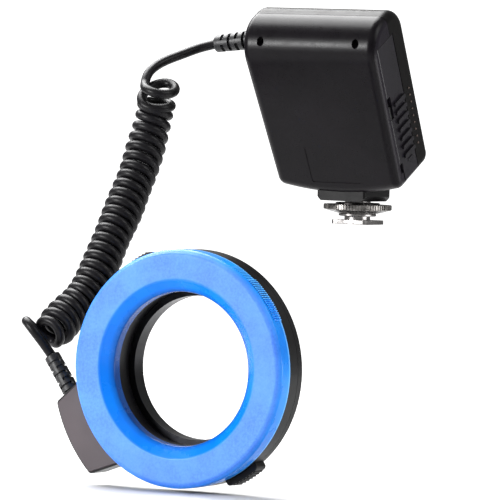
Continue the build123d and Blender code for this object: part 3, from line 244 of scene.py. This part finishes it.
class Mat:
    """A node material with a Principled shader and object-space helpers."""

    def __init__(self, name):
        self.m = bpy.data.materials.new(name)
        self.m.use_nodes = True
        self.t = self.m.node_tree
        self.p = self.t.nodes["Principled BSDF"]
        self.coord = self.t.nodes.new("ShaderNodeTexCoord").outputs["Object"]

    def node(self, kind, **values):
        n = self.t.nodes.new(kind)
        for k, v in values.items():
            setattr(n, k, v)
        return n

    def noise(self, scale, detail=4.0, rough=0.5, vector=None, distortion=0.0):
        n = self.node("ShaderNodeTexNoise")
        n.inputs["Scale"].default_value = scale
        n.inputs["Detail"].default_value = detail
        n.inputs["Roughness"].default_value = rough
        n.inputs["Distortion"].default_value = distortion
        link(self.t, vector or self.coord, n.inputs["Vector"])
        return n.outputs["Fac"]

    def range(self, value, a, b, c, d, clamp=True):
        n = self.node("ShaderNodeMapRange")
        n.clamp = clamp
        link(self.t, value, n.inputs["Value"])
        for key, v in zip(("From Min", "From Max", "To Min", "To Max"), (a, b, c, d)):
            n.inputs[key].default_value = v
        return n.outputs["Result"]

    def math(self, op, a, b=None, c=None):
        n = self.node("ShaderNodeMath", operation=op)
        for i, v in enumerate((a, b, c)):
            if v is None:
                continue
            if isinstance(v, (int, float)):
                n.inputs[i].default_value = v
            else:
                link(self.t, v, n.inputs[i])
        return n.outputs[0]

    def mix(self, fac, a, b):
        n = self.node("ShaderNodeMix", data_type="RGBA")
        for key, v in ((0, fac), (6, a), (7, b)):
            if isinstance(v, (int, float)):
                n.inputs[key].default_value = v
            elif isinstance(v, tuple):
                n.inputs[key].default_value = (*v, 1.0)
            else:
                link(self.t, v, n.inputs[key])
        return n.outputs[2]

    def xyz(self):
        n = self.node("ShaderNodeSeparateXYZ")
        link(self.t, self.coord, n.inputs[0])
        return n.outputs[0], n.outputs[1], n.outputs[2]

    def bump(self, height, strength, distance, after=None):
        n = self.node("ShaderNodeBump")
        n.inputs["Strength"].default_value = strength
        n.inputs["Distance"].default_value = distance
        link(self.t, height, n.inputs["Height"])
        if after is not None:
            link(self.t, after, n.inputs["Normal"])
        return n.outputs["Normal"]

    def set(self, **values):
        for k, v in values.items():
            sock = self.p.inputs[k.replace("_", " ")]
            if isinstance(v, (int, float)):
                sock.default_value = v
            elif isinstance(v, tuple):
                sock.default_value = (*v, 1.0) if len(v) == 3 and sock.type == "RGBA" else v
            else:
                link(self.t, v, sock)
        return self


def lin(*c):
    """sRGB 0-255 to linear."""
    return tuple(((v / 255 + 0.055) / 1.055) ** 2.4 if v / 255 > 0.04045 else v / 255 / 12.92 for v in c)


def plastic(name, dark, light, rough=(0.34, 0.46), grain=2600.0, grain_depth=0.00003, strength=0.35, coat=0.0, dust=0.02, spec=0.5, side=False, side_painted_sheen=None):
    """Moulded plastic: fine grain, slow tone drift, a little dust in fine specks."""
    m = Mat(name)
    slow = m.noise(38.0, 5.0)
    fine = m.noise(grain, 3.0, 0.6)
    speck = m.noise(900.0, 6.0, 0.75)
    base = m.mix(m.range(slow, 0.35, 0.68, 0, 1), dark, light)
    dust_and_painted_light = m.mix(m.range(speck, 0.66, 0.80, 0, dust), base, lin(150, 148, 150))
    scuff = m.noise(140.0, 8.0, 0.7, distortion=0.6)
    r = m.math("ADD", m.range(fine, 0.3, 0.7, rough[0], rough[1]), m.range(scuff, 0.45, 0.75, -0.02, 0.06))
    # with side, painted light is added to the base: a painted shadow line, painted highlight specks and a painted
    # sheen on the side face
    if side:
        dust_and_painted_light, line = side_marks(m, dust_and_painted_light, side_painted_sheen)
        r = m.math("ADD", r, m.math("MULTIPLY", line, 0.4))
    m.set(Base_Color=dust_and_painted_light, Roughness=r, Normal=m.bump(fine, strength, grain_depth), Coat_Weight=coat, Coat_Roughness=0.25)
    m.p.inputs["Specular IOR Level"].default_value = spec
    return m.m


def metal(name, dark, light, rough=(0.18, 0.32), streak=(1.0, 1.0, 1.0), scale=420.0, strength=0.15):
    """Plated metal: brushed along the short axis of the streak, with slow tarnish."""
    m = Mat(name)
    mp = m.node("ShaderNodeMapping")
    mp.inputs["Scale"].default_value = streak
    link(m.t, m.coord, mp.inputs["Vector"])
    line_noise = m.noise(scale, 4.0, 0.6, vector=mp.outputs["Vector"])
    slow = m.noise(90.0, 5.0)
    base = m.mix(m.range(slow, 0.3, 0.7, 0, 1), dark, light)
    m.set(Base_Color=base, Metallic=1.0, Roughness=m.range(line_noise, 0.3, 0.7, rough[0], rough[1]),
          Normal=m.bump(line_noise, strength, 0.00002))
    return m.m


def board(name):
    """Solder mask over traces laid in two directions, with a fine weave."""
    m = Mat(name)
    mp = m.node("ShaderNodeMapping")
    mp.inputs["Scale"].default_value = (1.0, 1.0, 1.0)
    link(m.t, m.coord, mp.inputs["Vector"])
    brick = m.node("ShaderNodeTexBrick")
    brick.inputs["Scale"].default_value = 260.0
    brick.inputs["Mortar Size"].default_value = 0.035
    brick.inputs["Color1"].default_value = (*lin(20, 92, 52), 1)
    brick.inputs["Color2"].default_value = (*lin(16, 78, 46), 1)
    brick.inputs["Mortar"].default_value = (*lin(60, 140, 84), 1)
    link(m.t, mp.outputs["Vector"], brick.inputs["Vector"])
    slow = m.noise(120.0, 4.0)
    m.set(Base_Color=m.mix(m.range(slow, 0.4, 0.7, 0, 0.5), brick.outputs["Color"], lin(12, 60, 34)),
          Roughness=m.range(slow, 0.3, 0.7, 0.25, 0.42), Normal=m.bump(brick.outputs["Fac"], 0.3, 0.00005))
    return m.m


def on_side(m):
    """How far up the side a point is, how far forward, and how far it stands out of the side, all in metres."""
    lean, taper = math.radians(29.5), math.atan2(2.9, 81.0)
    sl, cl, st, ct = math.sin(lean), math.cos(lean), math.sin(taper), math.cos(taper)
    x0 = (32.0 + 4.4 * math.tan(taper)) * MM
    x, y, z = m.xyz()
    dx = m.math("SUBTRACT", x, x0)
    dy = m.math("SUBTRACT", y, -sl * 28.0 * MM)
    dz = m.math("SUBTRACT", z, cl * 28.0 * MM)

    def dot(a, b, c):
        return m.math("ADD", m.math("ADD", m.math("MULTIPLY", dx, a), m.math("MULTIPLY", dy, b)), m.math("MULTIPLY", dz, c))

    return dot(st, -sl * ct, cl * ct), dot(0.0, -cl, -sl), dot(ct, sl * st, -cl * st)


def side_marks(m, base, light=None):
    """Painted light on the side: a painted shadow line along the door's upper joint, painted highlights on the row of
    dots, and a painted sheen that lightens the side face.
    """
    up, forward, outward = on_side(m)
    joint = m.math("ABSOLUTE", m.math("SUBTRACT", up, 66.3 * MM))
    line = m.math("MULTIPLY", m.range(joint, 0.14 * MM, 0.42 * MM, 1, 0), m.range(outward, -1.2 * MM, -0.6 * MM, 0, 1))
    line = m.math("MULTIPLY", line, m.range(forward, -13.4 * MM, -12.6 * MM, 0, 1))
    line = m.math("MULTIPLY", line, m.range(forward, 4.2 * MM, 5.0 * MM, 1, 0))
    # painted sheen: the flat side face gets a lighter tone than the front of the same shell
    if light is not None:
        base = m.mix(m.range(outward, -0.9 * MM, -0.3 * MM, 0, 1), base, light)
    # painted highlights: the dots standing out of the side are lightened as if catching the light
    dots = m.math("MULTIPLY", m.range(outward, 0.06 * MM, 0.16 * MM, 0, 0.7), m.range(forward, -13.6 * MM, -13.2 * MM, 1, 0))
    base = m.mix(dots, base, lin(112, 98, 92))
    return m.mix(line, base, lin(3, 2, 3)), line


# the front shell's side face gets a lighter tone as a painted sheen
C["shell"] = plastic("black_shell", lin(8, 6, 9), lin(13, 10, 14), rough=(0.27, 0.36), spec=0.115, dust=0.006, side=True, side_painted_sheen=lin(26, 23, 29))
# painted shade: the back shell is kept darker than the front shell, and its side gets none of the painted sheen
C["back_shell"] = plastic("black_back_shell_painted_shade", lin(7, 6, 6), lin(11, 9, 9), rough=(0.34, 0.44), spec=0.10, side=True)
C["foot"] = plastic("black_foot", lin(5, 4, 5), lin(9, 8, 9), rough=(0.42, 0.52), spec=0.14)
C["rim"] = plastic("black_rim", lin(9, 9, 10), lin(15, 14, 16), rough=(0.30, 0.42), grain=1900.0, spec=0.17)
# painted sheen: the door's base colour is set lighter than the shell's
C["door"] = plastic("black_door_painted_sheen", lin(20, 18, 23), lin(27, 24, 30), rough=(0.28, 0.38), spec=0.28, side=True)
C["button"] = plastic("button_rubber", lin(52, 52, 55), lin(66, 66, 69), rough=(0.5, 0.62), grain=3200.0)
C["plate"] = plastic("grey_plate", lin(45, 35, 40), lin(57, 46, 51), rough=(0.42, 0.55), grain=3400.0, strength=0.5, spec=0.35)
C["relief"] = plastic("relief_rubber", lin(16, 16, 18), lin(25, 25, 28), rough=(0.40, 0.52), grain=1500.0, spec=0.4)
C["tray"] = plastic("tray_plastic", lin(20, 20, 21), lin(34, 34, 36), rough=(0.45, 0.6), grain=1500.0)
C["steel"] = metal("bright_metal", lin(112, 110, 110), lin(168, 165, 163))
C["spring"] = metal("spring_steel", lin(150, 150, 155), lin(205, 205, 210), rough=(0.14, 0.24))
C["brass"] = metal("brass_contact", lin(190, 152, 88), lin(222, 188, 122))
C["alloy"] = metal("adapter_alloy", lin(30, 30, 32), lin(44, 44, 47), rough=(0.28, 0.42), streak=(1, 6, 1))
C["board"] = board("circuit_board")


def black_metal():
    """Black plating with bright worn crests on the knurl."""
    m = Mat("black_metal")
    geo = m.node("ShaderNodeNewGeometry")
    worn = m.range(geo.outputs["Pointiness"], 0.52, 0.62, 0, 1)
    patch = m.noise(260.0, 6.0, 0.65)
    mask = m.math("MULTIPLY", worn, m.range(patch, 0.35, 0.65, 0.2, 1.0))
    m.set(Base_Color=m.mix(mask, lin(40, 38, 38), lin(196, 192, 188)), Metallic=1.0,
          Roughness=m.range(patch, 0.3, 0.7, 0.22, 0.4), Normal=m.bump(patch, 0.15, 0.00003))
    return m.m


C["wheel"] = black_metal()


def cord_rubber():
    m = Mat("cord_rubber")
    fine = m.noise(1600.0, 3.0, 0.6)
    slow = m.noise(60.0, 5.0)
    scuff = m.noise(260.0, 7.0, 0.75)
    base = m.mix(m.range(slow, 0.35, 0.7, 0, 1), lin(11, 10, 12), lin(18, 17, 20))
    m.set(Base_Color=m.mix(m.range(scuff, 0.66, 0.8, 0, 0.08), base, lin(90, 88, 92)),
          Roughness=m.range(fine, 0.3, 0.7, 0.33, 0.44), Normal=m.bump(fine, 0.2, 0.00003))
    m.p.inputs["Specular IOR Level"].default_value = 0.15
    return m.m


C["cord"] = cord_rubber()
cord_obj.data.materials.append(C["cord"])


def filter_blue():
    """One moulding: a frosted front band, polished lip, deeper skirt; told apart by distance from the ring's axis and depth."""
    m = Mat("clear_blue")
    x, y, z = m.xyz()
    dz = m.math("SUBTRACT", z, RING_Z)
    r = m.math("SQRT", m.math("ADD", m.math("MULTIPLY", x, x), m.math("MULTIPLY", dz, dz)))
    depth = m.math("SUBTRACT", y, RING_Y)
    on_band = m.math("MULTIPLY", m.range(r, 0.0386, 0.0404, 0, 1), m.range(depth, 0.0004, 0.0022, 1, 0))
    on_lip = m.range(r, 0.0396, 0.0402, 1, 0)
    inner = m.range(r, 0.0334, 0.0362, 1, 0)
    mottle = m.noise(950.0, 7.0, 0.7)
    cloud = m.noise(55.0, 5.0, 0.6)
    edge_line = m.range(depth, 0.0080, 0.0086, 0, 1)
    skirt = m.mix(m.range(cloud, 0.35, 0.7, 0, 1), lin(4, 112, 214), lin(18, 134, 228))
    skirt = m.mix(m.math("MULTIPLY", edge_line, 0.6), skirt, lin(120, 190, 250))
    # two bands of grip ribs, opposite each other: painted shade between the ribs, painted highlights on their crests
    turn = m.math("MODULO", m.math("ADD", m.math("ARCTAN2", dz, x), 2 * math.pi), math.pi)
    off = m.math("SUBTRACT", turn, math.radians(50.0))
    tooth = m.math("COSINE", m.math("MULTIPLY", off, 360.0 / 1.15))
    zone = m.math("MULTIPLY", m.range(m.math("ABSOLUTE", off), 0.2045, 0.2090, 1, 0), m.range(depth, 0.0028, 0.0034, 0, 1))
    zone = m.math("MULTIPLY", zone, m.range(r, 0.0515, 0.0520, 0, 1))
    skirt = m.mix(m.math("MULTIPLY", zone, m.range(tooth, -0.5, 0.3, 0.85, 0)), skirt, lin(2, 66, 120))
    skirt = m.mix(m.math("MULTIPLY", zone, m.range(tooth, 0.3, 0.9, 0, 0.5)), skirt, lin(110, 200, 252))
    lip = m.mix(m.range(cloud, 0.3, 0.7, 0, 1), lin(0, 104, 212), lin(4, 120, 228))
    deep = m.mix(m.range(cloud, 0.3, 0.7, 0, 1), lin(2, 60, 128), lin(4, 72, 146))
    band = m.mix(m.range(mottle, 0.36, 0.66, 0, 1), lin(50, 102, 200), lin(74, 124, 216))
    band = m.mix(m.range(cloud, 0.35, 0.7, 0, 0.35), band, lin(96, 160, 244))
    colour = m.mix(on_lip, skirt, lip)
    colour = m.mix(inner, colour, deep)
    colour = m.mix(on_band, colour, band)
    rough = m.math("ADD", m.math("MULTIPLY", on_band, 0.26), m.range(cloud, 0.3, 0.7, 0.24, 0.30))
    m.set(Base_Color=colour, Roughness=rough, Normal=m.bump(mottle, 0.18, 0.00004))
    m.p.inputs["Subsurface Weight"].default_value = 0.0
    m.p.inputs["Subsurface Radius"].default_value = (0.4, 0.8, 1.6)
    m.p.inputs["Subsurface Scale"].default_value = 0.0012
    m.p.inputs["IOR"].default_value = 1.49
    m.p.inputs["Specular IOR Level"].default_value = 0.22
    m.p.inputs["Coat Weight"].default_value = 0.06
    m.p.inputs["Coat Roughness"].default_value = 0.3
    return m.m


C["filter"] = filter_blue()


def clear(name, tint, rough, alpha_like=0.9):
    m = Mat(name)
    fine = m.noise(700.0, 5.0)
    m.set(Base_Color=m.mix(m.range(fine, 0.4, 0.6, 0, 1), tint, tuple(min(1, v * 1.08) for v in tint)),
          Roughness=m.range(fine, 0.3, 0.7, rough, rough + 0.06))
    m.p.inputs["Transmission Weight"].default_value = alpha_like
    m.p.inputs["IOR"].default_value = 1.49
    return m.m


C["window"] = clear("clear_window", (0.92, 0.95, 0.97), 0.12)
C["lcd_window"] = clear("display_window", (0.55, 0.58, 0.56), 0.04, 0.85)
C["lamp"] = clear("lamp_resin", (0.96, 0.95, 0.85), 0.05, 0.8)


def display():
    m = Mat("display")
    fine = m.noise(4000.0, 2.0)
    slow = m.noise(45.0, 3.0)
    m.set(Base_Color=m.mix(m.range(slow, 0.3, 0.7, 0, 1), lin(128, 138, 118), lin(146, 156, 134)),
          Roughness=m.range(fine, 0.3, 0.7, 0.16, 0.24), Normal=m.bump(fine, 0.05, 0.00001))
    return m.m


C["display"] = display()


def cells():
    """Printed sleeve with a slowly varying tone and bare metal ends."""
    m = Mat("cell_jacket")
    x, y, z = m.xyz()
    fine = m.noise(600.0, 4.0)
    end = m.math("ADD", m.range(x, 0.0232, 0.0235, 0, 1), m.range(x, -0.0214, -0.0211, 1, 0))
    end = m.math("MINIMUM", end, 1.0)
    jacket = m.mix(m.range(m.noise(40.0), 0.35, 0.65, 0, 1), lin(52, 56, 62), lin(66, 70, 78))
    m.set(Base_Color=m.mix(end, jacket, lin(196, 196, 200)), Metallic=end, Roughness=m.range(fine, 0.3, 0.7, 0.22, 0.34))
    return m.m


C["cells"] = cells()

PAINT = {
    "front_housing": "shell", "rear_housing": "back_shell", "housing_screws": "steel", "lcd_window": "lcd_window",
    "lcd_panel": "display", "main_circuit_board": "board", "board_screws": "steel", "tact_switches": "rim",
    "button_mode": "button", "button_light": "button", "button_test": "button", "button_down": "button",
    "button_up": "button", "power_switch": "button", "slide_switch_body": "rim", "battery_tray": "tray",
    "battery_cells": "cells", "battery_contacts": "brass", "battery_springs": "spring", "battery_door": "door",
    "door_contacts": "spring", "door_hinge_bracket": "rim", "door_hinge_pin": "steel", "foot_block": "foot",
    "foot_screws": "steel", "shoe_foot": "steel", "lock_stem": "steel", "lock_wheel": "wheel", "clamp_plate": "steel",
    "centre_contact": "brass", "contact_spring": "spring", "contact_plug": "rim", "strain_relief_upper": "relief",
    "strain_relief_lower": "relief", "filter_ring": "filter", "diffuser_window": "window", "led_board": "board",
    "led_lamps": "lamp", "ring_front_housing": "rim", "ring_rear_cover": "rim", "ring_screws": "steel",
    "cable_box_plate": "plate", "cable_box_board": "board", "release_button_a": "rim", "release_button_b": "rim",
    "release_springs_a": "spring", "release_springs_b": "spring", "adapter_ring": "alloy",
}
for name, key in PAINT.items():
    obj = NODES[name]
    obj.data.materials.clear()
    obj.data.materials.append(C[key])

# ------------------------------------------------------------------ floor and light
floor_z = cad_box[0][2] - 0.002


def floor_mat():
    m = Mat("floor")
    fine = m.noise(300.0, 4.0)
    m.set(Base_Color=m.mix(m.range(m.noise(1.5), 0.4, 0.6, 0, 1), (0.60, 0.60, 0.60), (0.62, 0.62, 0.62)),
          Roughness=m.range(fine, 0.3, 0.7, 0.6, 0.7))
    return m.m


half = 0.62
floor = mesh_object("floor", [(-half, -half, floor_z), (half, -half, floor_z), (half, half, floor_z), (-half, half, floor_z)],
                    [(0, 1, 2, 3)], floor_mat(), shade=False)


def backdrop_mat():
    """A plain white paper backdrop that shows as lit."""
    m = Mat("backdrop")
    grain = m.noise(0.6, 2.0)
    m.set(Base_Color=m.mix(m.range(grain, 0.4, 0.6, 0, 1), (0.97, 0.97, 0.97), (1.0, 1.0, 1.0)), Roughness=0.9)
    m.p.inputs["Emission Color"].default_value = (1, 1, 1, 1)
    m.p.inputs["Emission Strength"].default_value = 1.05
    return m.m


# round paper backdrop, far outside everything
dome = bmesh.new()
bmesh.ops.create_uvsphere(dome, u_segments=48, v_segments=24, radius=14.0)
bmesh.ops.reverse_faces(dome, faces=dome.faces)
dome_mesh = bpy.data.meshes.new("backdrop")
dome.to_mesh(dome_mesh)
dome.free()
backdrop = bpy.data.objects.new("backdrop", dome_mesh)
bpy.context.scene.collection.objects.link(backdrop)
dome_mesh.materials.append(backdrop_mat())
backdrop.visible_diffuse = False
backdrop.visible_glossy = False
backdrop.visible_transmission = True
backdrop.visible_shadow = False


def area(name, at, aim, size, power, size_y=None, tone=(1, 1, 1)):
    data = bpy.data.lights.new(name, "AREA")
    data.shape = "RECTANGLE"
    data.size = size
    data.size_y = size_y or size
    data.energy = power
    data.color = tone
    obj = bpy.data.objects.new(name, data)
    obj.location = at
    obj.rotation_euler = (Vector(aim) - Vector(at)).to_track_quat("-Z", "Y").to_euler()
    bpy.context.scene.collection.objects.link(obj)
    return obj


centre = Vector((0, -0.08, 0))
area("top", centre + Vector((-0.84, 0.44, 1.36)), centre, 1.4, 84)
area("low_left", centre + Vector((-1.02, -1.72, 0.36)), centre, 0.85, 54, size_y=0.30)
area("key", centre + Vector((0.5, -1.6, 1.5)), centre, 1.2, 2.5)
area("low_right", Vector((0.42, 0.06, -0.055)), Vector((0.0, -0.04, 0.0)), 0.26, 0.6, size_y=0.11)
area("right", centre + Vector((1.5, 0.1, 1.1)), centre + Vector((0.3, 0, -0.1)), 1.0, 15)

world = bpy.data.worlds.new("world")
bpy.context.scene.world = world
world.use_nodes = True
bg = world.node_tree.nodes["Background"]
bg.inputs["Color"].default_value = (1, 1, 1, 1)
bg.inputs["Strength"].default_value = 0.32
bpy.context.scene.view_settings.view_transform = "Standard"
